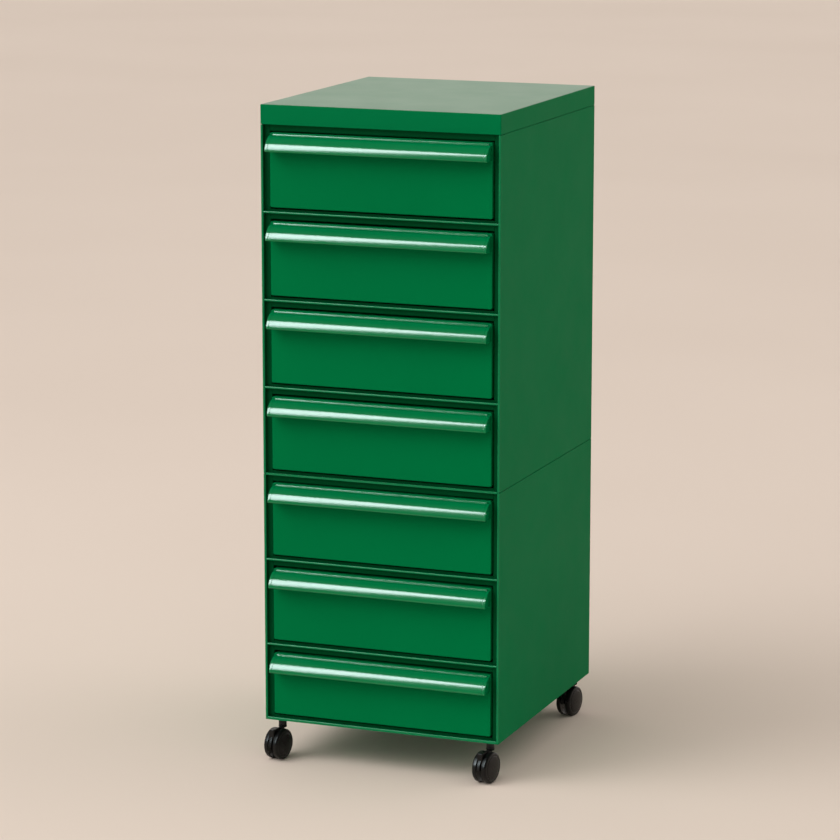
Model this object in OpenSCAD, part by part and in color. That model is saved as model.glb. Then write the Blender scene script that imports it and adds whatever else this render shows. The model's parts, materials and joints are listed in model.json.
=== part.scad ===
// Sheet-steel cabinet with seven hooded drawers, in two stacked modules under one cap,
// on four twin-wheel swivel casters.
// The front faces -Y, +X is to the right and +Z is up. The origin lies on the floor, under the
// middle of the overall box. All sizes are in millimetres.

/* [Cabinet] */
// Width over the side walls
body_w = 400; // [370:5:460]
// Depth over the side walls
body_d = 450; // [400:10:560]
// Height of the underside above the floor
floor_gap = 66; // [62:1:72]
// Height of the top cap
cap_h = 31; // [24:1:40]
// Thickness of the sheet steel
sheet_t = 1.2; // [1:0.1:1.4]

/* [Bays] */
// Height from one divider line to the next
bay_pitch = 140; // [130:5:170]
// Clear height of the lowest bay
bottom_bay_h = 119.8; // [110:0.1:150]
// Height of a divider's front edge
divider_h = 3.4; // [3:0.1:5]
// Height of the edge under the lowest bay
bottom_edge_h = 4.5; // [4:0.5:8]
// Width of the side walls' front edge
side_edge_w = 4; // [3:0.5:5]
// Depth of the face flanges behind the front edges
flange_recess = 8; // [5:0.5:12]
// Width of the upright face flanges
side_flange_w = 9; // [7:0.5:9]
// Height of the face flange over each drawer
top_flange_h = 11; // [8:0.5:12]

/* [Drawers] */
// Gap beside each drawer front
side_gap = 1.5; // [1:0.25:2]
// Gap over each drawer front
top_gap = 2; // [1.5:0.5:3]
// Gap under each drawer front
bottom_gap = 5.8; // [5.6:0.2:7]
// Depth of the drawer fronts behind the cabinet's front edges
front_recess = 3; // [2:0.5:6]
// How far each drawer pulls out
drawer_travel = 350; // [250:10:350]
// How far the pull stands out from the drawer front
pull_out = 24; // [20:1:25]
// Height of the pull
pull_h = 28; // [24:1:34]

/* [Casters] */
// Diameter of the wheels
wheel_d = 50; // [46:1:50]
// Width over both wheels of a caster
wheel_pair_w = 30; // [28:0.5:32]
// Distance from a stem to the nearest outer faces of the cabinet
caster_inset = 21; // [21:1:30]
// Distance from the stem's axis to the wheels' axle
caster_trail = 13; // [12.5:0.5:14]
// Swivel angle at rest, turned right-hand down about the upright axis
caster_turn = 10; // [0:5:90]

/* [Hidden] */
drawers = [1:7];
upper_drawers = [1:4];
lower_drawers = [5:7];
casters = ["front_left", "front_right", "rear_left", "rear_right"];

$fn = 64;
eps = 0.01;
cut = 0.5;
green = [0.01, 0.40, 0.22];
steel = [0.62, 0.64, 0.66];
nylon = [0.90, 0.89, 0.85];
black = [0.08, 0.08, 0.09];

// Heights. Line k is the middle of the divider under drawer k, and line 0 is the cap's underside.
function line_z(k) = floor_gap + bottom_edge_h + bottom_bay_h + divider_h / 2
    + (6 - k) * bay_pitch;
function bay_floor(k) = k < 7 ? line_z(k) + divider_h / 2 : floor_gap + bottom_edge_h;
function bay_roof(k) = line_z(k - 1) - divider_h / 2;
function front_z(k) = bay_floor(k) + bottom_gap;
function front_top(k) = bay_roof(k) - top_flange_h - top_gap;
floor_z = floor_gap + bottom_edge_h;
seam_z = line_z(4);
carcass_top = bay_roof(1);
plate_t = divider_h / 2;

// Places across the cabinet
half_w = body_w / 2;
inner_x = half_w - sheet_t;
edge_x = half_w - side_edge_w;
opening_x = edge_x - side_flange_w;
front_x = opening_x - side_gap;

// Places along the depth
swivel_fwd = caster_trail * cos(caster_turn);
rim_w = 8.5;
wheel_reach = wheel_d / 2 * cos(caster_turn) + (wheel_pair_w / 2 - rim_w / 2) * sin(caster_turn);
caster_overhang = swivel_fwd + wheel_reach - caster_inset;
pull_overhang = pull_out - front_recess;
front_overhang = max(caster_overhang, pull_overhang);
screw_head_h = 1.6;
face_y = (front_overhang - screw_head_h - body_d) / 2;
rear_y = face_y + body_d;
flange_y = face_y + flange_recess;
panel_y = face_y + front_recess;

// Folds and small clearances
fold_d = 12;
seam_relief = 0.5;
cap_relief = 1;
rail_depth = 32;
rail_fold_h = 9;
sill_h = 3;
top_fold_w = 19;
rear_flange_w = 15;
back_panel_t = 1;

// Fasteners
bolt_r = 3;
cap_screw_r = 2;
back_screw_r = 1.5;
hole_fit = 0.2;
screw_margin = 40;
upper_screw_heights = [seam_z + screw_margin, (seam_z + carcass_top) / 2,
                       carcass_top - screw_margin];
lower_screw_heights = [floor_gap + screw_margin, (floor_gap + seam_z) / 2, seam_z - screw_margin];

// Drawer box and its front
front_t = 16;
front_skin_t = 1.2;
box_y = panel_y + front_t;
box_x = 175;
box_t = 1;
box_raise = 6;
box_head = 26;
box_rear_gap = 12;
box_end_y = rear_y - box_rear_gap;
pull_inset = 1.4;
pull_t = 1.5;
pull_end_t = 3;
pull_curl = 4;

// Runners, the drawers' rails and their nylon glides
runner_h = 26;
runner_x = 179;
runner_y = flange_y + fold_d + 4;
runner_end_y = rear_y - 12;
runner_lift = 30;
runner_t = 1.2;
glide_t = 1.7;
glide_l = 25;
rail_t = 1.2;
rail_web_h = 19;
rail_gap = 0.1;
rail_out_x = opening_x - 0.5;
buffer_r = 5;

function runner_z(k) = front_z(k) + box_raise + runner_lift;
function runner_floor(k) = runner_z(k) - runner_h / 2 + runner_t;

// Caster sizes
wheel_r = wheel_d / 2;
hood_r = wheel_r + 1;
hood_web_w = 5.6;
hood_stem_w = 9.2;
hood_top_z = 53;
wheel_gap = 0.4;
wheel_x = hood_stem_w / 2 + wheel_gap;
wheel_wall = 2.6;
axle_r = 2.5;
axle_end_x = wheel_pair_w / 2 - 2.5;
hub_r = 6.5;
pin_r = 3;
pin_end_z = 44;
running_fit = 0.05;
collar_r = 6.5;
thread_r = 4;
stem_hole_r = thread_r + 1;
nut_h = 5;
nut_r = 7.5;
caster_plate_t = 3;
stem_top_z = floor_z + nut_h + 0.5;

// A box given by its lowest and highest corners
module span(low, high) {
    translate(low) cube(high - low);
}

// The same solid on the left and on the right
module both_sides() {
    children();
    mirror([1, 0, 0]) children();
}

// A round hole cut along Z, a little past both of its ends
module bore(r, low, high) {
    translate([0, 0, low - cut]) cylinder(r = r, h = high - low + 2 * cut);
}

// A profile drawn as [y, z] points, extruded across the cabinet between -x and +x
module across(x) {
    rotate([90, 0, 90]) translate([0, 0, -x]) linear_extrude(2 * x) children();
}

// ---- Carcass ----

// The right wall of a module: wall, front edge, face flange and rear flange in one folded sheet
module side_wall(low, high) {
    translate([0, 0, low]) linear_extrude(high - low) polygon([
        [half_w, face_y], [half_w, rear_y],
        [half_w - rear_flange_w, rear_y], [half_w - rear_flange_w, rear_y - sheet_t],
        [inner_x, rear_y - sheet_t], [inner_x, face_y + sheet_t],
        [edge_x + sheet_t, face_y + sheet_t], [edge_x + sheet_t, flange_y + sheet_t],
        [opening_x + sheet_t, flange_y + sheet_t], [opening_x + sheet_t, flange_y + fold_d],
        [opening_x, flange_y + fold_d], [opening_x, flange_y],
        [edge_x, flange_y], [edge_x, face_y]
    ]);
}

// The face flange that hangs over a drawer, with its stiffening fold
module top_flange(roof_z, x) {
    low = roof_z - top_flange_h;
    across(x) polygon([
        [flange_y, roof_z], [flange_y, low], [flange_y + fold_d, low],
        [flange_y + fold_d, low + sheet_t], [flange_y + sheet_t, low + sheet_t],
        [flange_y + sheet_t, roof_z]
    ]);
}

// A level plate from the face to the back panel, with a front edge between the walls' edges and
// a sill of the given height under the drawer front
module level_plate(low, high, sill = 0) {
    span([-inner_x, flange_y + sheet_t, low], [inner_x, rear_y - sheet_t - back_panel_t, high]);
    span([-edge_x, face_y, low], [edge_x, flange_y, high]);
    span([-opening_x, flange_y, low], [opening_x, flange_y + sheet_t, high + sill]);
}

// The upper module's sheets before they are drilled: walls, floor plate and top folds
module upper_shell() {
    fold_low = carcass_top - sheet_t;
    both_sides() {
        side_wall(seam_z + seam_relief, carcass_top - cap_relief);
        span([inner_x - top_fold_w, flange_y + fold_d, fold_low],
            [inner_x, rear_y - sheet_t - back_panel_t, carcass_top]);
    }
    level_plate(seam_z, seam_z + plate_t, sill_h);
    top_flange(carcass_top, opening_x);
    span([-opening_x, flange_y, fold_low], [opening_x, flange_y + rail_depth, carcass_top]);
}

// The lower module's sheets before they are drilled: walls, roof plate, floor and its edges
module lower_shell() {
    both_sides() side_wall(floor_gap, seam_z - seam_relief);
    level_plate(seam_z - plate_t, seam_z);
    top_flange(seam_z - plate_t, opening_x);
    level_plate(floor_z - sheet_t, floor_z, sill_h);
    span([-edge_x, face_y, floor_gap], [edge_x, face_y + sheet_t, floor_z]);
    span([-half_w + rear_flange_w, rear_y - sheet_t, floor_gap],
        [half_w - rear_flange_w, rear_y, floor_z]);
}

module upper_carcass() {
    color(green) difference() {
        upper_shell();
        at_module_bolts() bore(bolt_r + hole_fit, 0, plate_t);
        at_cap_screws() bore(cap_screw_r + hole_fit, -sheet_t, 0);
        at_back_screws(upper_screw_heights) bore(back_screw_r + hole_fit, 0, sheet_t);
    }
}

module lower_carcass() {
    color(green) difference() {
        lower_shell();
        at_casters() bore(stem_hole_r, floor_z - sheet_t, floor_z);
        at_module_bolts() bore(bolt_r + hole_fit, -plate_t, 0);
        at_back_screws(lower_screw_heights) bore(back_screw_r + hole_fit, 0, sheet_t);
    }
}

module top_cap() {
    top = carcass_top + cap_h;
    color(green) difference() {
        span([-half_w, face_y, carcass_top], [half_w, rear_y, top]);
        span([-inner_x, face_y + sheet_t, carcass_top + sheet_t],
            [inner_x, rear_y - sheet_t, top - sheet_t]);
        span([-opening_x, flange_y + fold_d, carcass_top - eps],
            [opening_x, rear_y - rear_flange_w, carcass_top + 2 * sheet_t]);
        at_cap_screws() bore(cap_screw_r + hole_fit, 0, sheet_t);
    }
}

// A back panel stands inside the rear flanges of its module
module back_panel(low, high, screw_heights) {
    color(green) difference() {
        span([-inner_x, rear_y - sheet_t - back_panel_t, low], [inner_x, rear_y - sheet_t, high]);
        at_back_screws(screw_heights)
            bore(back_screw_r + hole_fit, sheet_t, sheet_t + back_panel_t);
    }
}

module upper_back_panel() {
    back_panel(seam_z, carcass_top, upper_screw_heights);
}

module lower_back_panel() {
    back_panel(floor_gap, seam_z, lower_screw_heights);
}

// The rail between two drawers: shelf with its sill, front edge and the face flange below
module divider_rail(k) {
    top = line_z(k) + divider_h / 2;
    bottom = line_z(k) - divider_h / 2;
    color(green) {
        span([-edge_x, face_y, bottom], [edge_x, flange_y, top]);
        top_flange(bottom + eps, opening_x);
        across(opening_x) polygon([
            [flange_y, bottom], [flange_y, top + sill_h], [flange_y + sheet_t, top + sill_h],
            [flange_y + sheet_t, top], [flange_y + rail_depth, top],
            [flange_y + rail_depth, top - rail_fold_h],
            [flange_y + rail_depth - sheet_t, top - rail_fold_h],
            [flange_y + rail_depth - sheet_t, top - sheet_t],
            [flange_y + sheet_t, top - sheet_t], [flange_y + sheet_t, bottom]
        ]);
    }
}

module upper_divider_rails() {
    for (k = [1:3]) divider_rail(k);
}

module lower_divider_rails() {
    for (k = [5:6]) divider_rail(k);
}

// A C-shaped channel on the wall, open towards the drawer
module runner(k) {
    low = runner_z(k) - runner_h / 2;
    high = low + runner_h;
    color(steel) both_sides() difference() {
        span([runner_x, runner_y, low], [inner_x, runner_end_y, high]);
        span([runner_x - eps, runner_y - eps, low + runner_t],
            [inner_x - runner_t, runner_end_y + eps, high - runner_t]);
    }
}

module upper_runners() {
    for (k = upper_drawers) runner(k);
}

module lower_runners() {
    for (k = lower_drawers) runner(k);
}

// Nylon pads at the mouth of each channel, which carry and stop the drawer's rails
module runner_glides() {
    color(nylon) for (k = drawers)
        both_sides() span([runner_x + 0.5, runner_y, runner_floor(k)],
            [rail_out_x, runner_y + glide_l, runner_floor(k) + glide_t]);
}

// ---- Fasteners, caster plates and buffers ----

module at_module_bolts() {
    bolt_x = 150;
    front_inset = 70;
    rear_inset = 60;
    for (side = [-1, 1], y = [face_y + front_inset, rear_y - rear_inset])
        translate([side * bolt_x, y, seam_z]) children();
}

module at_cap_screws() {
    side_inset = 7;
    front_inset = 60;
    rear_inset = 50;
    for (side = [-1, 1], y = [face_y + front_inset, rear_y - rear_inset])
        translate([side * (inner_x - side_inset), y, carcass_top]) children();
}

// Places of the back panels' screws, each with +Z pointing into the cabinet
module at_back_screws(heights) {
    for (side = [-1, 1], z = heights)
        translate([side * (half_w - rear_flange_w / 2 - 1), rear_y, z]) rotate([90, 0, 0])
            children();
}

module at_casters() {
    for (side = [-1, 1], y = [face_y + caster_inset, rear_y - caster_inset])
        translate([side * (half_w - caster_inset), y, 0]) children();
}

// Bolts with washers and nuts that clamp the lower module's roof to the upper module's floor
module module_bolts() {
    head_r = 5;
    head_h = 4;
    bolt_nut_r = 5.8;
    bolt_nut_h = 5;
    end_h = 2;
    color(steel) at_module_bolts() {
        translate([0, 0, plate_t]) cylinder(r = head_r, h = head_h);
        translate([0, 0, -plate_t - bolt_nut_h - end_h])
            cylinder(r = bolt_r, h = 2 * plate_t + bolt_nut_h + end_h + eps);
        translate([0, 0, -plate_t - bolt_nut_h]) cylinder(r = bolt_nut_r, h = bolt_nut_h, $fn = 6);
    }
}

// Screws from below, through the carcass's top folds into the cap's inner lip
module cap_screws() {
    head_r = 3.6;
    head_h = 2.2;
    screw_l = 9;
    color(steel) at_cap_screws() {
        translate([0, 0, -sheet_t - head_h]) cylinder(r = head_r, h = head_h);
        translate([0, 0, -sheet_t - eps]) cylinder(r = cap_screw_r, h = screw_l);
    }
}

// Screws through the rear flanges into the back panels
module back_panel_screws() {
    head_r = 3.4;
    screw_l = 6;
    color(steel) at_back_screws(concat(upper_screw_heights, lower_screw_heights)) {
        translate([0, 0, -screw_head_h]) cylinder(r = head_r, h = screw_head_h);
        translate([0, 0, -eps]) cylinder(r = back_screw_r, h = screw_l);
    }
}

// Small plates under the floor's corners, each with the welded nut that takes a stem
module caster_plates() {
    plate_half = 7.4;
    plate_top = floor_z - sheet_t;
    color(steel) at_casters() difference() {
        union() {
            span([-plate_half, -plate_half, plate_top - caster_plate_t],
                [plate_half, plate_half, plate_top]);
            translate([0, 0, plate_top - eps]) cylinder(r = stem_hole_r, h = sheet_t + 2 * eps);
            translate([0, 0, floor_z]) cylinder(r = nut_r, h = nut_h, $fn = 6);
        }
        bore(thread_r, plate_top - caster_plate_t, floor_z + nut_h);
    }
}

// Threaded stems with a collar, each ending in the pin that its caster swivels on
module caster_stems() {
    collar_z = hood_top_z + 0.3;
    collar_top = floor_z - sheet_t - caster_plate_t;
    color(black) at_casters() {
        translate([0, 0, pin_end_z]) cylinder(r = pin_r, h = collar_z + eps - pin_end_z);
        translate([0, 0, collar_z]) cylinder(r = collar_r, h = collar_top - collar_z);
        translate([0, 0, collar_top - eps]) cylinder(r = thread_r, h = stem_top_z - collar_top);
    }
}

// Rubber buffers on the back panels, which the shut drawers rest against
module drawer_buffers() {
    buffer_x = 140;
    clearance = 0.5;
    buffer_l = box_rear_gap - sheet_t - back_panel_t - clearance;
    color(black) for (k = drawers, side = [-1, 1])
        translate([side * buffer_x, rear_y - sheet_t - back_panel_t, runner_z(k)])
            rotate([90, 0, 0]) cylinder(r = buffer_r, h = buffer_l);
}

// ---- Drawers ----

// Folded tray behind the drawer front
module drawer_box(k) {
    low = front_z(k) + box_raise;
    high = front_top(k) - box_head;
    color(green) difference() {
        span([-box_x, box_y, low], [box_x, box_end_y, high]);
        span([-box_x + box_t, box_y + box_t, low + box_t],
            [box_x - box_t, box_end_y - box_t, high + 1]);
    }
}

// Front panel: a skin with its four edges folded back to the box
module drawer_front(k) {
    low = front_z(k);
    high = front_top(k);
    color(green) difference() {
        span([-front_x, panel_y, low], [front_x, panel_y + front_t, high]);
        span([-front_x + front_skin_t, panel_y + front_skin_t, low + front_skin_t],
            [front_x - front_skin_t, panel_y + front_t + 1, high - front_skin_t]);
    }
}

// Quarter-ellipse arc in [y, z] from the front panel's top edge down to the pull's lip
function pull_arc(inset, from, to, step) = [for (t = [from:step:to])
    [-(pull_out - inset) * sin(t), -inset - (pull_h - inset) * (1 - cos(t))]];

// Full-width hood with a closed end plate on each side and a lip turned in below
module drawer_pull(k) {
    x = front_x - pull_inset;
    step = 7.5;
    color(green) translate([0, panel_y, front_top(k)]) {
        across(x - pull_end_t) polygon(concat(
            pull_arc(0, 0, 90, step),
            [[pull_curl - pull_out, -pull_h], [pull_curl - pull_out, pull_t - pull_h],
             [pull_t - pull_out, pull_t - pull_h]],
            pull_arc(pull_t, 90 - step, 0, -step)
        ));
        both_sides() translate([x - pull_end_t, 0, 0]) rotate([90, 0, 90])
            linear_extrude(pull_end_t) polygon(concat(pull_arc(0, 0, 90, step), [[0, -pull_h]]));
    }
}

// Steel angles on the box's sides, each with a nylon glide under its rear end
module drawer_rails(k) {
    foot = runner_floor(k) + glide_t + rail_gap;
    color(steel) both_sides() {
        span([box_x, box_y + 4, foot], [box_x + rail_t, box_end_y - 2, foot + rail_web_h]);
        span([box_x, box_y + 4, foot], [rail_out_x - 0.5, box_end_y - 2, foot + rail_t]);
        span([runner_x + 1, box_end_y - 2 - glide_l, runner_floor(k) + rail_gap],
            [rail_out_x - 0.5, box_end_y - 2, foot]);
    }
}

// ---- Casters ----

function caster_x(c) = (c == "front_left" || c == "rear_left" ? -1 : 1) * (half_w - caster_inset);
function caster_y(c) = c == "front_left" || c == "front_right"
    ? face_y + caster_inset : rear_y - caster_inset;

// Moves a caster drawn about its swivel axis, wheels towards -Y, to its corner
module at_caster(c) {
    translate([caster_x(c), caster_y(c), 0]) rotate([0, 0, -caster_turn]) children();
}

// Puts a shape turned about +X on the wheels' axle
module on_axle() {
    translate([0, -caster_trail, wheel_r]) rotate([90, 0, 90]) children();
}

// Body of a caster: a web between the wheels and the thicker part that holds the stem's pin
module caster_hood(c) {
    skirt = -1;
    column = 6;
    column_l = 15;
    hub_drop = 10;
    shoulder = 6;
    pad_h = 2;
    color(black) at_caster(c) difference() {
        union() {
            on_axle() translate([0, 0, -hood_web_w / 2]) linear_extrude(hood_web_w) {
                intersection() {
                    circle(r = hood_r, $fn = 96);
                    translate([-hood_r, skirt]) square([2 * hood_r, hood_r - skirt]);
                }
                intersection() {
                    circle(r = hood_r - shoulder, $fn = 96);
                    translate([-hub_drop, -hub_drop]) square([2 * hub_drop, hub_drop]);
                }
            }
            on_axle() translate([0, 0, -hood_stem_w / 2]) linear_extrude(hood_stem_w)
                translate([column, column]) square([column_l, hood_top_z - wheel_r - column]);
            translate([0, 0, hood_top_z - pad_h]) cylinder(r = collar_r + 1, h = pad_h);
        }
        bore(pin_r + running_fit, pin_end_z, hood_top_z);
        on_axle() bore(axle_r, -hood_web_w / 2, hood_web_w / 2);
    }
}

module caster_axle(c) {
    end_gap = 0.5;
    half_l = axle_end_x - end_gap;
    color(steel) at_caster(c) on_axle() translate([0, 0, -half_l])
        cylinder(r = axle_r, h = 2 * half_l);
}

// Rounded rim of the right wheel in [radius, distance from the middle]
function wheel_face() =
    let (round_r = 4, round_w = 3.5, hollow = 2)
    [for (a = [0:15:90])
        [wheel_r - round_r + round_r * cos(a),
         wheel_pair_w / 2 - hollow - round_w + round_w * sin(a)]];

// The right wheel is a cup with a domed face, turned from a profile of [radius, distance]
module caster_wheel(c, side) {
    dome_h = 0.6;
    face_taper = 2;
    rim_face = 7;
    color(black) at_caster(c) on_axle() mirror([0, 0, side < 0 ? 1 : 0]) rotate_extrude($fn = 96)
        polygon(concat(
            [[wheel_r, wheel_x]],
            wheel_face(),
            [[wheel_r / 2, wheel_pair_w / 2 - dome_h], [0, wheel_pair_w / 2], [0, axle_end_x],
             [axle_r + running_fit, axle_end_x],
             [axle_r + running_fit, hood_web_w / 2 + wheel_gap], [hub_r, hood_web_w / 2 + wheel_gap],
             [hub_r, wheel_pair_w / 2 - wheel_wall - face_taper],
             [wheel_r - wheel_wall, wheel_pair_w / 2 - rim_face],
             [wheel_r - wheel_wall, wheel_x]]
        ));
}

// ---- Drawing ----

upper_carcass();
lower_carcass();
top_cap();
upper_back_panel();
lower_back_panel();
upper_divider_rails();
lower_divider_rails();
upper_runners();
lower_runners();
runner_glides();
module_bolts();
cap_screws();
back_panel_screws();
caster_plates();
caster_stems();
drawer_buffers();
for (k = drawers) {
    drawer_box(k);
    drawer_front(k);
    drawer_pull(k);
    drawer_rails(k);
}
for (c = casters) {
    caster_hood(c);
    caster_axle(c);
    caster_wheel(c, -1);
    caster_wheel(c, 1);
}
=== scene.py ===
import json
import math

import bmesh
import bpy
from mathutils import Matrix, Vector


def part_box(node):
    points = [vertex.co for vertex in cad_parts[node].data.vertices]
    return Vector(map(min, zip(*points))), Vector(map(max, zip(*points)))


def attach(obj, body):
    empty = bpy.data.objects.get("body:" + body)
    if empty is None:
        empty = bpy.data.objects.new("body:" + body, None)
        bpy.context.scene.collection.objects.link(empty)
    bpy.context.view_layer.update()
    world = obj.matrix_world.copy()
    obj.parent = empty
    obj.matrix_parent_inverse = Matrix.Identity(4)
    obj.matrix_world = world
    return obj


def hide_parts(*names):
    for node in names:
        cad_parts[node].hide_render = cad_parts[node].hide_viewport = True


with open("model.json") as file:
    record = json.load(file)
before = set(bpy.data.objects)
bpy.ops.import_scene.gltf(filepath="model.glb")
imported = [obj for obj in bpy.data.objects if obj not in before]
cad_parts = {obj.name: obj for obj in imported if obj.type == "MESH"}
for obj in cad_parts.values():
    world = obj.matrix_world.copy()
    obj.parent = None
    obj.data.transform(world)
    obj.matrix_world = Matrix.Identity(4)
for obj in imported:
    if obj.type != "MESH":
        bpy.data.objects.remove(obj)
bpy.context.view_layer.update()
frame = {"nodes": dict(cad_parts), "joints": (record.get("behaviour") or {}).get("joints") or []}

MM = 0.001

# ---------------------------------------------------------------- sizes, read from the frame

CAP_LOW, CAP_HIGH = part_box("top_cap")
HALF_W = CAP_HIGH.x
FACE_Y = CAP_LOW.y
REAR_Y = CAP_HIGH.y
SEAM_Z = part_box("upper_carcass")[0].z
BASE_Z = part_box("lower_carcass")[0].z
CAP_Z = CAP_LOW.z
TOP_Z = CAP_HIGH.z

# Folds of the carcass sheets
SHEET = 1.2 * MM
BACK_SHEET = 1 * MM
BEND = 0.75 * MM
EDGE_W = 4 * MM
FLANGE_W = 9 * MM
FLANGE_RECESS = 8 * MM
TOP_FLANGE_H = 11 * MM
FOLD_D = 12 * MM
RAIL_D = 32 * MM
RAIL_FOLD_H = 9 * MM
SILL_H = 3 * MM
REAR_FLANGE_W = 15 * MM
BOTTOM_EDGE_H = 4.5 * MM
TOP_FOLD_W = 19 * MM
SEAM_RELIEF = 0.5 * MM
CAP_RELIEF = 1 * MM
TOP_GAP = 2 * MM
BOTTOM_GAP = 5.8 * MM
EDGE_X = HALF_W - EDGE_W
OPENING_X = EDGE_X - FLANGE_W
INNER_X = HALF_W - SHEET
FLANGE_Y = FACE_Y + FLANGE_RECESS
PLATE_REAR = REAR_Y - SHEET - BACK_SHEET

DRAWERS = range(1, 8)
CASTERS = ("front_left", "front_right", "rear_left", "rear_right")


def drawer_box(k, part):
    """Lowest and highest corner of a drawer's CAD part."""
    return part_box(f"drawer_{k}_{part}")


def bay_roof(k):
    return drawer_box(k, "front")[1].z + TOP_GAP + TOP_FLANGE_H


def bay_floor(k):
    return drawer_box(k, "front")[0].z - BOTTOM_GAP


# ---------------------------------------------------------------- camera

def make_camera():
    """Long lens, to the right of the cabinet's front and a little above it."""
    corner = Vector((-HALF_W, FACE_Y, BASE_Z))
    data = bpy.data.cameras.new("camera")
    data.sensor_width = 36.0
    data.lens = 149.8
    data.clip_end = 200.0
    camera = bpy.data.objects.new("camera", data)
    tilt_down, turn_left = 11.476, 21.222
    camera.location = corner + Vector((2.2016, -4.9803, 1.5970))
    camera.rotation_euler = (math.radians(90 - tilt_down), 0.0, math.radians(turn_left))
    bpy.context.scene.collection.objects.link(camera)
    bpy.context.scene.camera = camera


make_camera()

# ---------------------------------------------------------------- materials


class Shader:
    """A material with short names for the nodes that it uses."""

    def __init__(self, name):
        self.material = bpy.data.materials.new(name)
        self.material.use_nodes = True
        self.tree = self.material.node_tree
        self.bsdf = self.tree.nodes["Principled BSDF"]
        coordinates = self.tree.nodes.new("ShaderNodeTexCoord")
        self.place = coordinates.outputs["Object"]

    def set(self, **values):
        for name, value in values.items():
            self.bsdf.inputs[name.replace("_", " ")].default_value = value

    def noise(self, scale, detail=3.0, roughness=0.5, stretch=None):
        node = self.tree.nodes.new("ShaderNodeTexNoise")
        node.inputs["Scale"].default_value = scale
        node.inputs["Detail"].default_value = detail
        node.inputs["Roughness"].default_value = roughness
        place = self.place
        if stretch:
            mapping = self.tree.nodes.new("ShaderNodeMapping")
            mapping.inputs["Scale"].default_value = stretch
            self.tree.links.new(place, mapping.inputs["Vector"])
            place = mapping.outputs["Vector"]
        self.tree.links.new(place, node.inputs["Vector"])
        return node.outputs["Fac"]

    def spread(self, value, low, high, start=0.3, end=0.7):
        """Maps a noise value to the range from low to high."""
        node = self.tree.nodes.new("ShaderNodeMapRange")
        node.inputs["From Min"].default_value = start
        node.inputs["From Max"].default_value = end
        node.inputs["To Min"].default_value = low
        node.inputs["To Max"].default_value = high
        self.tree.links.new(value, node.inputs["Value"])
        return node.outputs["Result"]

    def blend(self, factor, first, second):
        node = self.tree.nodes.new("ShaderNodeMix")
        node.data_type = "RGBA"
        node.inputs["A"].default_value = (*first, 1.0)
        node.inputs["B"].default_value = (*second, 1.0)
        self.tree.links.new(factor, node.inputs["Factor"])
        return node.outputs["Result"]

    def link(self, value, name):
        self.tree.links.new(value, self.bsdf.inputs[name])

    def bump(self, *layers):
        """Stacks (height value, strength, distance) layers into one normal."""
        normal = None
        for height, strength, distance in layers:
            node = self.tree.nodes.new("ShaderNodeBump")
            node.inputs["Strength"].default_value = strength
            node.inputs["Distance"].default_value = distance
            self.tree.links.new(height, node.inputs["Height"])
            if normal:
                self.tree.links.new(normal, node.inputs["Normal"])
            normal = node.outputs["Normal"]
        self.link(normal, "Normal")


def enamel(name, colour, roughness, ior, uneven=0.12):
    """Baked green enamel: fine orange peel, faint tone drift and uneven gloss."""
    s = Shader(name)
    lighter = tuple(c * 1.04 for c in colour)
    darker = tuple(c * 0.96 for c in colour)
    tone = s.spread(s.noise(3.0, 4.0, 0.6), 0.0, 1.0)
    s.link(s.blend(tone, darker, lighter), "Base Color")
    s.link(s.spread(s.noise(14.0, 5.0, 0.6), roughness * (1 - uneven), roughness * (1 + uneven)), "Roughness")
    s.set(IOR=ior)
    s.bump((s.noise(900.0, 2.0), 0.08, 0.0002), (s.noise(60.0, 2.0), 0.04, 0.0004))
    return s.material


def zinc():
    """Bright zinc-plated sheet with a faint rolled grain."""
    s = Shader("zinc_steel")
    tone = s.spread(s.noise(40.0, 5.0, 0.65), 0.0, 1.0)
    s.link(s.blend(tone, (0.42, 0.43, 0.44), (0.62, 0.63, 0.64)), "Base Color")
    s.set(Metallic=1.0)
    s.link(s.spread(s.noise(25.0, 4.0), 0.28, 0.45), "Roughness")
    s.bump((s.noise(400.0, 3.0, 0.6, (1.0, 0.03, 1.0)), 0.15, 0.0002))
    return s.material


def moulded(name, colour, roughness, specular=0.5):
    """Moulded plastic or rubber with a fine grain and slightly uneven gloss."""
    s = Shader(name)
    lighter = tuple(c * 1.35 + 0.002 for c in colour)
    s.link(s.blend(s.spread(s.noise(35.0, 4.0), 0.0, 1.0), colour, lighter), "Base Color")
    s.link(s.spread(s.noise(120.0, 4.0), roughness * 0.8, roughness * 1.3), "Roughness")
    s.set(IOR=1.5, Specular_IOR_Level=specular)
    s.bump((s.noise(2500.0, 2.0), 0.12, 0.0001), (s.noise(150.0, 2.0), 0.05, 0.0003))
    return s.material


GREEN_BODY = enamel("green_powder_coat", (0.0, 0.175, 0.056), 0.40, 1.06)
GREEN_TOP = enamel("green_top_coat", (0.004, 0.150, 0.055), 0.32, 1.50, 0.04)
# Glossier edge coat; its green, lighter than the body green, is also a painted highlight on the front edges
GREEN_EDGE_PAINTED_HIGHLIGHT = enamel("green_edge_painted_highlight_coat", (0.0, 0.200, 0.068), 0.22, 1.26)
# Painted shade: the body green darkened for the recessed flanges and returns, standing in for the shade
# inside the recess
GREEN_PAINTED_SHADE = enamel("green_recess_painted_shade", (0.0, 0.080, 0.023), 0.45, 1.05)
GREEN_FRONT = enamel("green_drawer_coat", (0.0, 0.178, 0.053), 0.35, 1.05)
GREEN_PULL = enamel("green_pull_coat", (0.0, 0.190, 0.058), 0.13, 1.40)
ZINC = zinc()
DARK_STEEL = moulded("dark_steel", (0.006, 0.006, 0.007), 0.32, 0.3)
NYLON = moulded("nylon", (0.72, 0.70, 0.63), 0.45)
BLACK = moulded("black_plastic", (0.003, 0.003, 0.003), 0.30, 0.22)
RUBBER = moulded("rubber", (0.016, 0.016, 0.016), 0.6)

# ---------------------------------------------------------------- outlines


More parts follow.
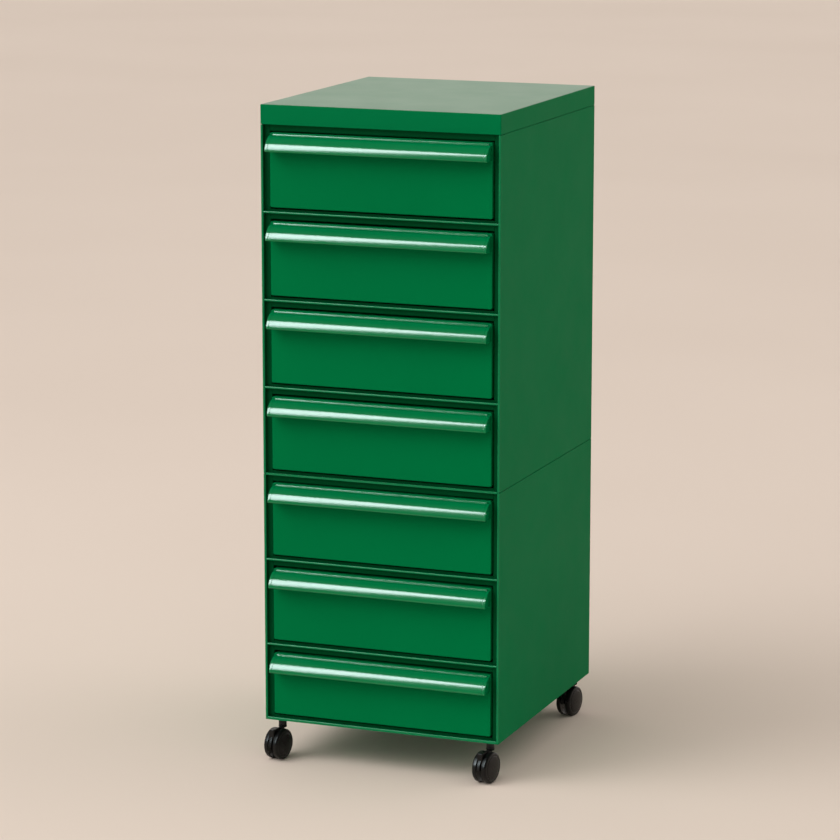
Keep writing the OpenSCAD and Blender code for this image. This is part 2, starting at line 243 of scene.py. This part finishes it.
def fillet(points, radius, steps=4):
    """Rounds the inner corners of an open 2D polyline."""
    line = [Vector(points[0])]
    for before, corner, after in zip(points, points[1:], points[2:]):
        corner = Vector(corner)
        back = (Vector(before) - corner).normalized()
        ahead = (Vector(after) - corner).normalized()
        half = back.angle(ahead) / 2
        reach = min(radius / math.tan(half), (Vector(before) - corner).length * 0.49,
                    (Vector(after) - corner).length * 0.49)
        r = reach * math.tan(half)
        centre = corner + (back + ahead).normalized() * (r / math.sin(half))
        start = corner + back * reach - centre
        end = corner + ahead * reach - centre
        for i in range(steps + 1):
            blend = start.lerp(end, i / steps)
            turn = math.pi - 2 * half
            a = turn * i / steps
            arm = (start * math.sin(turn - a) + end * math.sin(a)) / math.sin(turn)
            line.append(centre + arm)
    line.append(Vector(points[-1]))
    return line


def shifted(line, distance):
    """The open 2D polyline moved sideways, to its left for a positive distance."""
    result = []
    for i, point in enumerate(line):
        before = line[max(i - 1, 0)]
        after = line[min(i + 1, len(line) - 1)]
        ahead = (after - before).normalized()
        result.append(point + Vector((-ahead.y, ahead.x)) * distance)
    return result


def folded(points, thickness=SHEET, radius=BEND):
    """Closed outline of a sheet folded along the polyline through its middle."""
    line = fillet(points, radius)
    return shifted(line, thickness / 2) + shifted(line, -thickness / 2)[::-1]


def rounded_box(low, high, radius, steps=6):
    """Closed outline of an upright rectangle with rounded corners."""
    middle = (low[0] + high[0]) / 2
    points = [(middle, low[1]), (high[0], low[1]), (high[0], high[1]), (low[0], high[1]),
              (low[0], low[1]), (middle, low[1])]
    return fillet(points, radius, steps)[:-1]


def mirrored(outline):
    return [Vector((-a, b)) for a, b in outline][::-1]


AXES = {"x": lambda a, b, c: (c, a, b), "y": lambda a, b, c: (a, c, b), "z": lambda a, b, c: (a, b, c)}


class Build:
    """Collects solids for one piece."""

    def __init__(self):
        self.bm = bmesh.new()

    def prism(self, outline, axis, low, high):
        """The outline, drawn in the two other axes, extruded along axis."""
        place = AXES[axis]
        ends = [[self.bm.verts.new(place(a, b, c)) for a, b in outline] for c in (low, high)]
        count = len(outline)
        for i in range(count):
            j = (i + 1) % count
            self.bm.faces.new((ends[0][i], ends[0][j], ends[1][j], ends[1][i]))
        self.bm.faces.new(ends[0][::-1])
        self.bm.faces.new(ends[1])

    def block(self, low, high):
        outline = [(low[0], low[1]), (high[0], low[1]), (high[0], high[1]), (low[0], high[1])]
        self.prism(outline, "z", low[2], high[2])

    def tray(self, outline, front, rear):
        """A face across the outline, drawn in [x, z], and a rim back from it."""
        face, rim = [[self.bm.verts.new((x, y, z)) for x, z in outline] for y in (front, rear)]
        self.bm.faces.new(face)
        for i in range(len(outline)):
            j = (i + 1) % len(outline)
            self.bm.faces.new((face[i], face[j], rim[j], rim[i]))

    def lathe(self, profile, matrix, segments=96, radius_at=None):
        """Turns (radius, height) points about local Z. radius_at may shape a ring by its angle."""
        rings = []
        for index, (radius, height) in enumerate(profile):
            if radius < 1e-7:
                rings.append([self.bm.verts.new(matrix @ Vector((0, 0, height)))])
                continue
            ring = []
            for i in range(segments):
                a = 2 * math.pi * i / segments
                r = radius_at(index, radius, a) if radius_at else radius
                ring.append(self.bm.verts.new(
                    matrix @ Vector((r * math.cos(a), r * math.sin(a), height))))
            rings.append(ring)
        for one, two in zip(rings, rings[1:]):
            for i in range(segments):
                j = (i + 1) % segments
                corners = [one[i % len(one)], one[j % len(one)], two[j % len(two)], two[i % len(two)]]
                unique = list(dict.fromkeys(corners))
                if len(unique) > 2:
                    self.bm.faces.new(unique)

    def piece(self, name, body, material, replaces=(), bevel=0.2 * MM, segments=2,
              thickness=0.0, angle=40):
        """Makes the object, with softened edges and weighted normals, and lets it ride."""
        bmesh.ops.recalc_face_normals(self.bm, faces=self.bm.faces)
        mesh = bpy.data.meshes.new(name)
        self.bm.to_mesh(mesh)
        self.bm.free()
        mesh.shade_smooth()
        obj = bpy.data.objects.new(name, mesh)
        bpy.context.scene.collection.objects.link(obj)
        mesh.materials.append(material)
        if bevel:
            soften(obj, bevel, segments, angle)
        if thickness:
            shell = obj.modifiers.new("sheet", "SOLIDIFY")
            shell.thickness = thickness
            shell.offset = -1.0
        level_normals(obj)
        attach(obj, body)
        if replaces:
            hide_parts(*replaces)
        return obj


def soften(obj, width, segments=2, angle=40):
    bevel = obj.modifiers.new("edges", "BEVEL")
    bevel.width = width
    bevel.segments = segments
    bevel.limit_method = "ANGLE"
    bevel.angle_limit = math.radians(angle)


def level_normals(obj):
    normals = obj.modifiers.new("normals", "WEIGHTED_NORMAL")
    normals.keep_sharp = True


def paint_face(obj):
    """Glossier paint on the front edges, with a lighter green there as a painted highlight; darker green on
    the sheets set back behind them, as painted shade.
    """
    obj.data.materials.append(GREEN_EDGE_PAINTED_HIGHLIGHT)
    obj.data.materials.append(GREEN_PAINTED_SHADE)
    # Slot 1 carries the glossier coat with the painted highlight of the front edges, slot 2 the painted shade
    # of the recessed sheets
    edge, painted_shade_slot = 1, 2
    margin = 1 * MM
    for face in obj.data.polygons:
        if face.center.y < FLANGE_Y - margin and face.normal.y < 0.3:
            face.material_index = edge if face.center.y < FACE_Y + SHEET else painted_shade_slot
        elif face.center.y < FLANGE_Y + FOLD_D + margin:
            face.material_index = painted_shade_slot


def dress(node, material, width=0.15 * MM):
    """Gives a CAD node that stays its material, merged corners and softened edges."""
    obj = frame["nodes"][node]
    obj.data.materials.clear()
    obj.data.materials.append(material)
    obj.data.shade_smooth()
    weld = obj.modifiers.new("weld", "WELD")
    weld.merge_threshold = 0.005 * MM
    soften(obj, width, 2, 35)
    level_normals(obj)


# ---------------------------------------------------------------- carcass

def side_wall_outline():
    """Right wall seen from above: rear flange, wall, front edge, return, face flange, fold."""
    c = SHEET / 2
    return folded([
        (HALF_W - REAR_FLANGE_W, REAR_Y - c), (HALF_W - c, REAR_Y - c),
        (HALF_W - c, FACE_Y + c), (EDGE_X + c, FACE_Y + c),
        (EDGE_X + c, FLANGE_Y + c), (OPENING_X + c, FLANGE_Y + c),
        (OPENING_X + c, FLANGE_Y + FOLD_D),
    ])


def face_lip(build, low, high):
    """Front edge between the side walls' edges: a sheet folded over from low to high."""
    c = SHEET / 2
    build.prism(folded([(FLANGE_Y, high - c), (FACE_Y + c, high - c), (FACE_Y + c, low + c),
                        (FLANGE_Y, low + c)]), "x", -EDGE_X, EDGE_X)


def hanging_flange(build, roof):
    """Face flange over a drawer, with its stiffening fold."""
    c = SHEET / 2
    low = roof - TOP_FLANGE_H
    build.prism(folded([(FLANGE_Y + c, roof), (FLANGE_Y + c, low + c), (FLANGE_Y + FOLD_D, low + c)]),
                "x", -OPENING_X, OPENING_X)


def plate_from_face(build, low, high, sill=0.0):
    """Level plate from the face to the back panel, with an upstand under the drawer front."""
    build.block((-INNER_X, FLANGE_Y + SHEET, low), (INNER_X, PLATE_REAR, high))
    build.block((-OPENING_X, FLANGE_Y, low), (OPENING_X, FLANGE_Y + SHEET, high + sill))
    build.block((-EDGE_X, FACE_Y, low), (EDGE_X, FLANGE_Y, high))


def make_upper_carcass():
    plate_top = bay_floor(4)
    build = Build()
    outline = side_wall_outline()
    for shape in (outline, mirrored(outline)):
        build.prism(shape, "z", SEAM_Z + SEAM_RELIEF, CAP_Z - CAP_RELIEF)
    plate_from_face(build, SEAM_Z, plate_top, SILL_H)
    hanging_flange(build, bay_roof(1))
    fold_low = CAP_Z - SHEET
    for side in (-1, 1):
        xs = sorted((side * (INNER_X - TOP_FOLD_W), side * INNER_X))
        build.block((xs[0], FLANGE_Y + FOLD_D, fold_low), (xs[1], PLATE_REAR, CAP_Z))
    build.block((-OPENING_X, FLANGE_Y, fold_low), (OPENING_X, FLANGE_Y + RAIL_D, CAP_Z))
    paint_face(build.piece("upper_module_shell", "cabinet", GREEN_BODY,
                           ["upper_carcass"]))


def make_lower_carcass():
    floor = bay_floor(7)
    build = Build()
    outline = side_wall_outline()
    for shape in (outline, mirrored(outline)):
        build.prism(shape, "z", BASE_Z, SEAM_Z - SEAM_RELIEF)
    plate_from_face(build, bay_roof(5), SEAM_Z)
    hanging_flange(build, bay_roof(5))
    c = SHEET / 2
    build.block((-INNER_X, FLANGE_Y + SHEET, floor - SHEET), (INNER_X, PLATE_REAR, floor))
    build.block((-OPENING_X, FLANGE_Y, floor - SHEET), (OPENING_X, FLANGE_Y + SHEET, floor + SILL_H))
    build.prism(folded([(FLANGE_Y, floor - c), (FACE_Y + c, floor - c), (FACE_Y + c, BASE_Z)]),
                "x", -EDGE_X, EDGE_X)
    rear_x = HALF_W - REAR_FLANGE_W
    build.block((-rear_x, REAR_Y - SHEET, BASE_Z), (rear_x, REAR_Y, floor))
    paint_face(build.piece("lower_module_shell", "cabinet", GREEN_BODY,
                           ["lower_carcass"]))


def make_divider_rails(name, node, drawers):
    """Rails between drawers: lip, shelf with its rear fold, and the flange of the bay below."""
    build = Build()
    c = SHEET / 2
    for k in drawers:
        high = bay_floor(k)
        low = bay_roof(k + 1)
        face_lip(build, low, high)
        back = FLANGE_Y + RAIL_D - c
        build.prism(folded([(FLANGE_Y, high - c), (back, high - c), (back, high - RAIL_FOLD_H)]),
                    "x", -OPENING_X, OPENING_X)
        build.block((-OPENING_X, FLANGE_Y, high - SHEET), (OPENING_X, FLANGE_Y + SHEET, high + SILL_H))
        hanging_flange(build, low + SHEET)
    paint_face(build.piece(name, "cabinet", GREEN_BODY, [node]))


def make_cap():
    """Folded cap: rounded top and upright edges, an inner lip under it."""
    build = Build()
    corners = [(-HALF_W, FACE_Y), (HALF_W, FACE_Y), (HALF_W, REAR_Y), (-HALF_W, REAR_Y)]
    low, high = [[build.bm.verts.new((x, y, z)) for x, y in corners] for z in (CAP_Z, TOP_Z)]
    for i in range(4):
        j = (i + 1) % 4
        build.bm.faces.new((low[i], low[j], high[j], high[i]))
    build.bm.faces.new(high)
    shell = build.piece("cap_shell", "cabinet", GREEN_BODY, ["top_cap"],
                        bevel=1.5 * MM, segments=4, thickness=SHEET)
    shell.data.materials.append(GREEN_TOP)
    for face in shell.data.polygons:
        face.material_index = 1 if face.normal.z > 0.9 else 0
    build = Build()
    x, front, rear = HALF_W - SHEET, FACE_Y + SHEET, REAR_Y - SHEET
    inner_front, inner_rear = FLANGE_Y + FOLD_D, REAR_Y - REAR_FLANGE_W
    high_z = CAP_Z + SHEET
    build.block((-x, front, CAP_Z), (x, inner_front, high_z))
    build.block((-x, inner_rear, CAP_Z), (x, rear, high_z))
    for side in (-1, 1):
        xs = sorted((side * OPENING_X, side * x))
        build.block((xs[0], inner_front, CAP_Z), (xs[1], inner_rear, high_z))
    build.piece("cap_lip", "cabinet", GREEN_BODY, ["top_cap"])


make_upper_carcass()
make_lower_carcass()
make_divider_rails("upper_rails", "upper_divider_rails", (1, 2, 3))
make_divider_rails("lower_rails", "lower_divider_rails", (5, 6))
make_cap()

# ---------------------------------------------------------------- fasteners and inner parts

SCREW_INSET = 40 * MM
SOCKET_RINGS = 5
CHANNEL_X = 179 * MM
CHANNEL_H = 26 * MM
GLIDE_X = 180 * MM
GLIDE_L = 25 * MM
GLIDE_H = 1.7 * MM
GLIDE_GAP = 0.1 * MM


def hex_socket(index, radius, angle):
    """Radius of the hexagonal socket rings of a button-head screw."""
    if index < SOCKET_RINGS:
        return radius
    sixth = math.pi / 3
    return radius / math.cos((angle % sixth) - sixth / 2)


def make_back_screws():
    """Button-head screws on the rear flanges."""
    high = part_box("back_panel_screws")[1]
    heights = [SEAM_Z + SCREW_INSET, (SEAM_Z + CAP_Z) / 2, CAP_Z - SCREW_INSET,
               BASE_Z + SCREW_INSET, (BASE_Z + SEAM_Z) / 2, SEAM_Z - SCREW_INSET]
    head_h = high.y - REAR_Y
    head_r = 3.4 * MM
    x = high.x - head_r
    profile = [(0.0, 0.0), (head_r, 0.0), (head_r, head_h * 0.3), (head_r * 0.9, head_h * 0.65),
               (head_r * 0.68, head_h * 0.95), (head_r * 0.42, head_h), (head_r * 0.40, head_h * 0.35),
               (0.0, head_h * 0.3)]
    build = Build()
    for side in (-1, 1):
        for z in heights:
            matrix = Matrix.Translation((side * x, REAR_Y, z)) @ Matrix.Rotation(-math.pi / 2, 4, "X")
            build.lathe(profile, matrix, 24, hex_socket)
    build.piece("rear_button_screws", "cabinet", ZINC, ["back_panel_screws"],
                bevel=0.08 * MM)


def make_runners(name, node, drawers):
    """C-shaped channels on the walls, folded from zinc-plated strip."""
    node_low, node_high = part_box(node)
    c = SHEET / 2
    build = Build()
    for k in drawers:
        low = drawer_box(k, "rails")[0].z - GLIDE_GAP - SHEET
        high = low + CHANNEL_H
        outline = folded([(CHANNEL_X, high - c), (INNER_X - c, high - c),
                          (INNER_X - c, low + c), (CHANNEL_X, low + c)])
        for shape in (outline, mirrored(outline)):
            build.prism(shape, "y", node_low.y, node_high.y)
    build.piece(name, "cabinet", ZINC, [node])


def make_back_panel(name, node):
    """Flat sheet inside the rear flanges."""
    low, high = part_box(node)
    build = Build()
    build.block(low, high)
    build.piece(name, "cabinet", GREEN_BODY, [node], bevel=0.3 * MM)


make_back_screws()
make_back_panel("upper_rear_sheet", "upper_back_panel")
make_back_panel("lower_rear_sheet", "lower_back_panel")
make_runners("upper_channels", "upper_runners", (1, 2, 3, 4))
make_runners("lower_channels", "lower_runners", (5, 6, 7))
for node in ("module_bolts", "cap_screws"):
    dress(node, ZINC)
dress("caster_plates", DARK_STEEL)
dress("runner_glides", NYLON, 0.3 * MM)
dress("drawer_buffers", RUBBER, 0.6 * MM)

# ---------------------------------------------------------------- drawers

PULL_SHEET = 1.5 * MM
PULL_END = 5 * MM
# The small ridge along the pull's top, in [y, z] mm
RIDGE = ((0, -1.6), (-1.0, -1.6), (-1.6, -1.9), (-1.9, -2.5), (-1.9, -3.2), (-2.2, -3.6))
RIDGE_POINTS = len(RIDGE) - 1
HOOD_STEPS = 28
HOOD_ROUNDNESS = 1.7
LIP_R = 2 * MM
LIP_STEPS = 6
LIP_RETURN = 2 * MM
FRONT_CORNER_R = 3 * MM
TRAY_SHEET = 1 * MM
TRAY_BEND = 0.8 * MM
TRAY_HEM = 3.5 * MM


def pull_curve(depth, height):
    """Outer skin of the pull in [y, z] from the front's top edge: ridge, hood and turned lip."""
    line = [Vector((y * MM, z * MM)) for y, z in RIDGE]
    start = Vector((-2.8 * MM, -3.8 * MM))
    reach = Vector((depth + start.x, height + start.y - LIP_R))
    power = 2 / HOOD_ROUNDNESS
    for i in range(HOOD_STEPS + 1):
        t = math.pi / 2 * i / HOOD_STEPS
        line.append(start - Vector((reach.x * math.sin(t) ** power,
                                    reach.y * (1 - math.cos(t) ** power))))
    for i in range(1, LIP_STEPS + 1):
        t = math.pi / 2 * i / LIP_STEPS
        line.append(Vector((-depth + LIP_R * (1 - math.cos(t)),
                            -height + LIP_R * (1 - math.sin(t)))))
    line.append(Vector((-depth + LIP_R + LIP_RETURN, -height)))
    return line


def make_pull(k):
    low, high = drawer_box(k, "pull")
    panel_y = high.y
    curve = pull_curve(high.y - low.y, high.z - low.z)
    skin = [p + Vector((panel_y, high.z)) for p in curve]
    inner = shifted(skin, PULL_SHEET)
    inner = [Vector((min(p.x, panel_y), p.y)) for p in inner]
    build = Build()
    build.prism(skin + inner[::-1], "x", low.x + PULL_END, high.x - PULL_END)
    build.piece(f"drawer_{k}_hood", f"drawer_{k}", GREEN_PULL,
                [f"drawer_{k}_pull"], bevel=0.25 * MM, angle=50)
    build = Build()
    side = [Vector((panel_y, skin[RIDGE_POINTS].y))] + skin[RIDGE_POINTS:-1]
    side.append(Vector((panel_y, low.z)))
    for x in (low.x, high.x - PULL_END):
        build.prism(side, "x", x, x + PULL_END)
    build.piece(f"drawer_{k}_hood_ends", f"drawer_{k}", GREEN_PULL,
                [f"drawer_{k}_pull"], bevel=0.6 * MM, segments=3, angle=50)


def make_front(k):
    """Pressed front: face with rounded corners and edges, folded back on all four sides."""
    low, high = drawer_box(k, "front")
    build = Build()
    outline = rounded_box((low.x, low.z), (high.x, high.z), FRONT_CORNER_R)
    build.tray(outline, low.y, high.y)
    build.piece(f"drawer_{k}_face", f"drawer_{k}", GREEN_FRONT,
                [f"drawer_{k}_front"], bevel=1.3 * MM, segments=4, thickness=SHEET, angle=60)


def make_tray(k):
    """Drawer box folded from one sheet, its top edges hemmed inwards."""
    low, high = drawer_box(k, "box")
    t, hem = TRAY_SHEET, TRAY_HEM
    c = t / 2
    x = high.x - c
    build = Build()
    path = [(x - hem, high.z - hem), (x - hem, high.z - c), (x, high.z - c), (x, low.z + c)]
    path += [(-a, b) for a, b in path[::-1]]
    build.prism(folded(path, t, TRAY_BEND), "y", low.y, high.y)
    for end, inward in ((low.y + c, 1), (high.y - c, -1)):
        wall = folded([(end + inward * hem, high.z - hem), (end + inward * hem, high.z - c),
                       (end, high.z - c), (end, low.z + t)], t, TRAY_BEND)
        build.prism(wall, "x", -x + hem + c, x - hem - c)
        build.block((-x, min(end - c, end + c), low.z + t), (x, max(end - c, end + c), high.z - 2 * t))
    build.piece(f"drawer_{k}_tray", f"drawer_{k}", GREEN_BODY,
                [f"drawer_{k}_box"])


def make_rails(k):
    """Angle rails on the tray's sides and the nylon glide at the rear of each."""
    low, high = drawer_box(k, "rails")
    tray_x = drawer_box(k, "box")[1].x
    foot = low.z + GLIDE_H
    c = SHEET / 2
    outline = folded([(tray_x + c, high.z), (tray_x + c, foot + c), (high.x, foot + c)])
    build = Build()
    for shape in (outline, mirrored(outline)):
        build.prism(shape, "y", low.y, high.y)
    build.piece(f"drawer_{k}_angles", f"drawer_{k}", ZINC, [f"drawer_{k}_rails"])
    build = Build()
    for side in (-1, 1):
        xs = sorted((side * GLIDE_X, side * high.x))
        build.block((xs[0], high.y - GLIDE_L, low.z), (xs[1], high.y, foot))
    build.piece(f"drawer_{k}_glides", f"drawer_{k}", NYLON, [f"drawer_{k}_rails"],
                bevel=0.4 * MM)


for k in DRAWERS:
    make_front(k)
    make_pull(k)
    make_tray(k)
    make_rails(k)

# ---------------------------------------------------------------- casters

JOINTS = {j["name"]: j for j in frame["joints"]}
HOOD_R = 26 * MM


def axle_matrix(joint):
    """Local Z along the joint's axis, local Y up, at the joint's place."""
    z = Vector(joint["axis"]).normalized()
    y = Vector((0, 0, 1))
    x = y.cross(z)
    turn = Matrix((x, y, z)).transposed().to_4x4()
    return Matrix.Translation(joint["pos_m"]) @ turn


def wheel_profile():
    """[radius, distance from the middle]: tread, rounded shoulder, rim groove, domed face, cup."""
    shoulder_r, shoulder_w = 4, 3.5
    face_r, face_x, dome_h = 19, 13.25, 1.75
    bore_r, hub_r, cup_r = 2.56, 6.5, 22.4
    rim_x, hub_x, web_x = 5.0, 3.2, 12.5

    def turned(a):
        return math.cos(math.radians(a)), math.sin(math.radians(a))

    rim = [(cup_r, rim_x), (24.7, rim_x), (25.0, 5.3)]
    shoulder = [(21 + shoulder_r * c, 9.5 + shoulder_w * s) for c, s in map(turned, range(0, 91, 10))]
    groove = [(20.3, 13.1), (20.0, 12.75), (19.4, 12.75), (19.1, face_x)]
    dome = [(face_r * c, face_x + dome_h * s ** 1.3) for c, s in map(turned, range(15, 90, 15))]
    skin = rim + shoulder + groove + dome + [(0.0, 15.0)]
    cup = [(0.0, web_x), (bore_r, web_x), (bore_r, hub_x), (hub_r, hub_x), (hub_r, 10.4), (cup_r, 8.0),
           (cup_r, rim_x)]
    return [[(r * MM, h * MM) for r, h in points] for points in (skin, cup)]


def make_wheel(corner, side):
    name = f"caster_{corner}_wheel_{side}"
    matrix = axle_matrix(JOINTS[f"{name}_spin"])
    if side == "left":
        matrix = matrix @ Matrix.Rotation(math.pi, 4, "Y")
    skin, cup = wheel_profile()
    build = Build()
    build.lathe(skin, matrix)
    build.lathe(cup, matrix)
    bmesh.ops.remove_doubles(build.bm, verts=build.bm.verts, dist=0.001 * MM)
    build.piece(f"{name}_disc", name, BLACK, [name], bevel=0)


def hood_outline():
    """Side view of the web between the wheels, about the axle."""
    r = HOOD_R
    arc = [(r * math.cos(math.radians(a)), r * math.sin(math.radians(a))) for a in range(-2, 183, 4)]
    hub_r = 10 * MM
    hub = [(hub_r * math.cos(math.radians(a)), hub_r * math.sin(math.radians(a)))
           for a in range(186, 356, 10)]
    return arc + hub


def make_hood(corner):
    body = f"caster_{corner}"
    matrix = axle_matrix(JOINTS[f"caster_{corner}_wheel_right_spin"])
    swivel = Vector(JOINTS[f"caster_{corner}_swivel"]["pos_m"])
    build = Build()
    half_web = 2.8 * MM
    build.prism([Vector((-a, b)) for a, b in hood_outline()], "z", -half_web, half_web)
    bmesh.ops.transform(build.bm, matrix=matrix, verts=build.bm.verts)
    build.piece(f"{body}_web", body, BLACK, [f"{body}_hood"], bevel=0.8 * MM,
                segments=3, angle=50)
    build = Build()
    half_column = 4.6 * MM
    near, far, top = 6 * MM, 21 * MM, 27 * MM
    build.prism([(-far, near), (-near, near), (-near, top), (-far, top)], "z", -half_column, half_column)
    bmesh.ops.transform(build.bm, matrix=matrix, verts=build.bm.verts)
    build.piece(f"{body}_column", body, BLACK, [f"{body}_hood"],
                bevel=1.2 * MM, segments=3)
    build = Build()
    profile = [(0.0, 49.5), (6.2, 49.5), (6.6, 50.4), (6.6, 52.5), (6.2, 53.0), (0.0, 53.0)]
    build.lathe([(r * MM, h * MM) for r, h in profile],
                Matrix.Translation((swivel.x, swivel.y, 0)), 48)
    build.piece(f"{body}_boss", body, BLACK, [f"{body}_hood"], bevel=0.3 * MM)


def make_stems():
    """Turned collars with a groove, and the pins below them."""
    build = Build()
    profile = [(0.0, 44.0), (2.6, 44.0), (3.0, 44.4), (3.0, 53.3), (6.0, 53.3), (6.5, 53.8),
               (6.5, 55.4), (6.1, 55.6), (6.1, 56.2), (6.5, 56.4), (6.5, 65.8), (6.1, 66.3),
               (4.0, 66.3), (4.0, 75.5), (3.5, 76.0), (0.0, 76.0)]
    for corner in CASTERS:
        x, y, _ = JOINTS[f"caster_{corner}_swivel"]["pos_m"]
        build.lathe([(r * MM, h * MM) for r, h in profile], Matrix.Translation((x, y, 0)), 48)
    build.piece("caster_collars", "cabinet", DARK_STEEL, ["caster_stems"],
                bevel=0.1 * MM)


make_stems()
for corner in CASTERS:
    make_hood(corner)
    dress(f"caster_{corner}_axle", ZINC)
    for side in ("left", "right"):
        make_wheel(corner, side)

# ---------------------------------------------------------------- stage and light


def make_floor():
    """Plain pale floor with a faint, wide drift of tone."""
    s = Shader("studio_floor")
    darker, lighter = (0.712, 0.622, 0.552), (0.735, 0.645, 0.575)
    s.link(s.blend(s.spread(s.noise(0.6, 2.0), 0.0, 1.0), darker, lighter), "Base Color")
    s.set(Roughness=0.9, Specular_IOR_Level=0.02)
    size = 40.0
    mesh = bpy.data.meshes.new("floor")
    mesh.from_pydata([(-size, -size, 0), (size, -size, 0), (size, size, 0), (-size, size, 0)], [],
                     [(0, 1, 2, 3)])
    mesh.materials.append(s.material)
    floor = bpy.data.objects.new("floor", mesh)
    bpy.context.scene.collection.objects.link(floor)


def area_light(name, place, target, width, height, watts, colour, diffuse=True, glossy=True):
    data = bpy.data.lights.new(name, "AREA")
    data.shape = "RECTANGLE"
    data.size = width
    data.size_y = height
    data.energy = watts
    data.color = colour
    light = bpy.data.objects.new(name, data)
    light.location = place
    direction = Vector(target) - Vector(place)
    light.rotation_euler = direction.to_track_quat("-Z", "Y").to_euler()
    light.visible_diffuse = diffuse
    light.visible_glossy = glossy
    bpy.context.scene.collection.objects.link(light)


def polar(azimuth, elevation, distance, target):
    """A place seen from target: azimuth 0 is in front, positive to the left."""
    a, e = math.radians(azimuth), math.radians(elevation)
    return Vector(target) + distance * Vector((-math.sin(a) * math.cos(e), -math.cos(a) * math.cos(e),
                                               math.sin(e)))


def sun_light(name, azimuth, elevation, strength, angle, colour):
    data = bpy.data.lights.new(name, "SUN")
    data.energy = strength
    data.angle = math.radians(angle)
    data.color = colour
    light = bpy.data.objects.new(name, data)
    place = polar(azimuth, elevation, 5.0, (0, 0, 0))
    light.rotation_euler = (-place).to_track_quat("-Z", "Y").to_euler()
    light.visible_glossy = False
    bpy.context.scene.collection.objects.link(light)


def make_world():
    """Dim overhead, bright towards the horizon."""
    world = bpy.data.worlds.new("studio")
    world.use_nodes = True
    tree = world.node_tree
    direction = tree.nodes.new("ShaderNodeTexCoord").outputs["Generated"]
    split = tree.nodes.new("ShaderNodeSeparateXYZ")
    tree.links.new(direction, split.inputs["Vector"])

    def ramp(value, start, end, low, high):
        node = tree.nodes.new("ShaderNodeMapRange")
        node.interpolation_type = "SMOOTHSTEP"
        for name, number in zip(("From Min", "From Max", "To Min", "To Max"), (start, end, low, high)):
            node.inputs[name].default_value = number
        tree.links.new(value, node.inputs["Value"])
        return node.outputs["Result"]

    band = ramp(split.outputs["Z"], 0.0, 0.5, 1.0, 0.0)
    behind = ramp(split.outputs["Y"], -0.2, 0.7, 0.08, 1.45)
    product = tree.nodes.new("ShaderNodeMath")
    product.operation = "MULTIPLY_ADD"
    tree.links.new(band, product.inputs[0])
    tree.links.new(behind, product.inputs[1])
    product.inputs[2].default_value = 0.10
    background = tree.nodes["Background"]
    background.inputs["Color"].default_value = (1.0, 0.93, 0.87, 1.0)
    tree.links.new(product.outputs["Value"], background.inputs["Strength"])
    bpy.context.scene.world = world


def make_lights():
    middle = (0.0, 0.0, 0.55)
    sun_light("key_sun", 44, 36, 1.42, 70, (1.0, 0.97, 0.95))
    sun_light("top_sun", 10, 80, 1.48, 120, (1.0, 0.94, 0.88))
    area_light("left_softbox", polar(48, 40, 6.0, middle), middle, 3.0, 3.0, 70, (1.0, 0.97, 0.95),
               glossy=False)
    sun_light("rear_sun", -115, 38, 0.36, 50, (1.0, 0.96, 0.91))
    area_light("strip_softbox", polar(31, 31, 5.0, middle), middle, 1.0, 3.7, 330,
               (0.84, 0.97, 1.0), diffuse=False)
    bpy.context.scene.view_settings.view_transform = "Standard"


make_floor()
make_world()
make_lights()
